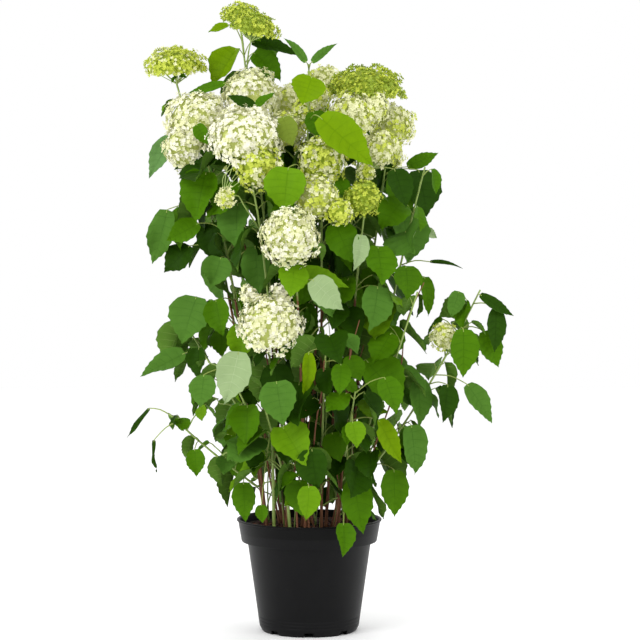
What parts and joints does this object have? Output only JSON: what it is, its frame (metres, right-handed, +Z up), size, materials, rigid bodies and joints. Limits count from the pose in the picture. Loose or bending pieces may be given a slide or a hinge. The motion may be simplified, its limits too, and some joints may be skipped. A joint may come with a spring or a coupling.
{
  "type": "potted hydrangea shrub",
  "caption": "Tall flowering hydrangea in a round black nursery pot: slender canes with opposite heart-shaped leaves under domed cream and lime flower heads.",
  "frame": {"origin": "centre of the pot's flat underside", "axes": "+Z up along the plant; the show side faces -Y, with +X to its right"},
  "size_m": [0.679, 0.4942, 1.1265],
  "materials": {
    "pot": "smooth black moulded plastic with a soft sheen",
    "compost": "damp dark bark crumbs",
    "bark": "dull brown cane bark",
    "foliage": "soft green leaves and creamy florets"
  },
  "bodies": {
    "root": {"cane_01": "bark", "cane_02": "bark", "cane_03": "bark", "cane_04": "bark", "cane_05": "bark", "cane_06": "bark", "cane_07": "bark", "cane_08": "bark", "cane_09": "bark", "cane_10": "bark", "cane_11": "bark", "cane_12": "bark", "cane_13": "bark", "cane_14": "bark", "cane_15": "bark", "cane_16": "bark", "cane_17": "bark", "crown_01": "foliage", "crown_02": "foliage", "crown_03": "foliage", "crown_04": "foliage", "crown_05": "foliage", "crown_06": "foliage", "crown_07": "foliage", "crown_08": "foliage", "crown_09": "foliage", "crown_10": "foliage", "crown_11": "foliage", "crown_12": "foliage", "crown_13": "foliage", "crown_14": "foliage", "crown_15": "foliage", "crown_16": "foliage", "crown_17": "foliage", "pot": "pot", "shoot_a": "foliage", "shoot_b": "foliage", "shoot_c": "foliage", "shoot_d": "foliage", "shoot_e": "foliage", "shoot_f": "foliage", "shoot_far_right": "foliage", "shoot_g": "foliage", "shoot_h": "foliage", "shoot_i": "foliage", "shoot_j": "foliage", "shoot_k": "foliage", "shoot_l": "foliage", "shoot_low_left": "foliage", "shoot_m": "foliage", "shoot_n": "foliage", "soil": "compost"}
  },
  "joints": []
}
